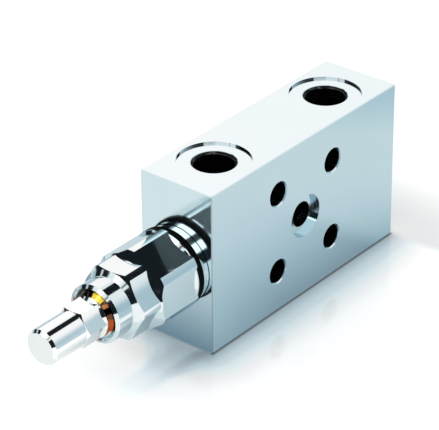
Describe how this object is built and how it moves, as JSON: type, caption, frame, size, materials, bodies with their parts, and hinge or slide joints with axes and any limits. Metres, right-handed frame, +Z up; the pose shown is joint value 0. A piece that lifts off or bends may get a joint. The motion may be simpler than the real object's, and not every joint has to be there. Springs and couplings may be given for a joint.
{
  "type": "counterbalance valve",
  "caption": "Counterbalance valve: a screwed-in adjustable cartridge with a hexagon body and closed cap in a flange-mounted steel block with threaded ports on top.",
  "frame": {"origin": "centre of the block's bottom face", "axes": "+X along the block away from the cartridge's adjusting end, which points to -X; the flange face with the bolt holes faces -Y; +Z up, with the threaded ports on top"},
  "size_m": [0.2235, 0.04, 0.08],
  "materials": {
    "block_steel": "zinc plated",
    "body_steel": "zinc plated",
    "bonnet_steel": "zinc plated",
    "cap_steel": "zinc plated",
    "yellow_metal": "turned",
    "flange_seal_rubber": "smooth",
    "seal_rubber": "smooth",
    "backup_plastic": "plain",
    "inner_steel": "ground",
    "screw_steel": "turned",
    "spring_steel": "drawn wire"
  },
  "bodies": {
    "housing": {"manifold_block": "block_steel", "cartridge_body": "body_steel", "flange_seal_ring": "flange_seal_rubber", "body_o_ring": "seal_rubber", "body_backup_ring_inner": "backup_plastic", "body_backup_ring_outer": "backup_plastic", "cage": "inner_steel", "cage_o_ring": "seal_rubber", "cage_backup_ring_inner": "backup_plastic", "cage_backup_ring_outer": "backup_plastic", "spring_stop_washer": "inner_steel", "retaining_ring": "spring_steel", "check_spring": "spring_steel", "main_spring": "spring_steel", "stem_o_ring": "seal_rubber", "bonnet": "bonnet_steel", "bonnet_o_ring": "seal_rubber"},
    "relief": {"relief_poppet": "inner_steel", "piston_o_ring": "seal_rubber", "lower_spring_seat": "inner_steel"},
    "check": {"check_sleeve": "inner_steel"},
    "adjuster": {"upper_spring_seat": "inner_steel"},
    "screw": {"adjusting_screw": "screw_steel", "screw_o_ring": "seal_rubber"},
    "cap_travel": {"seal_ring": "yellow_metal"},
    "cap": {"cap_nut": "cap_steel"}
  },
  "joints": [
    {"name": "relief_lift", "type": "slide", "parent": "housing", "child": "relief", "axis": [-1, 0, 0], "range_m": [0, 0.0025], "stiffness_N_per_m": 30000, "deforming": ["main_spring"]},
    {"name": "check_open", "type": "slide", "parent": "housing", "child": "check", "axis": [1, 0, 0], "range_m": [0, 0.003], "stiffness_N_per_m": 1500, "deforming": ["check_spring"]},
    {"name": "screw_travel", "type": "slide", "parent": "housing", "child": "adjuster", "axis": [1, 0, 0], "range_m": [-0.0015, 0.0045], "deforming": ["main_spring"]},
    {"name": "screw_turn", "type": "hinge", "parent": "adjuster", "child": "screw", "pos_m": [-0.1175, 0, 0.04], "axis": [1, 0, 0], "range_deg": [-360, 1080]},
    {"name": "cap_travel", "type": "slide", "parent": "housing", "child": "cap_travel", "axis": [-1, 0, 0], "range_m": [0, 0.006]},
    {"name": "cap_turn", "type": "hinge", "parent": "cap_travel", "child": "cap", "pos_m": [-0.139, 0, 0.04], "axis": [-1, 0, 0], "range_deg": [0, 1440]}
  ],
  "couplings": [
    {"joint": "screw_turn", "follows": "screw_travel", "rad_per_m": 4188.8},
    {"joint": "cap_turn", "follows": "cap_travel", "rad_per_m": 4188.8}
  ]
}
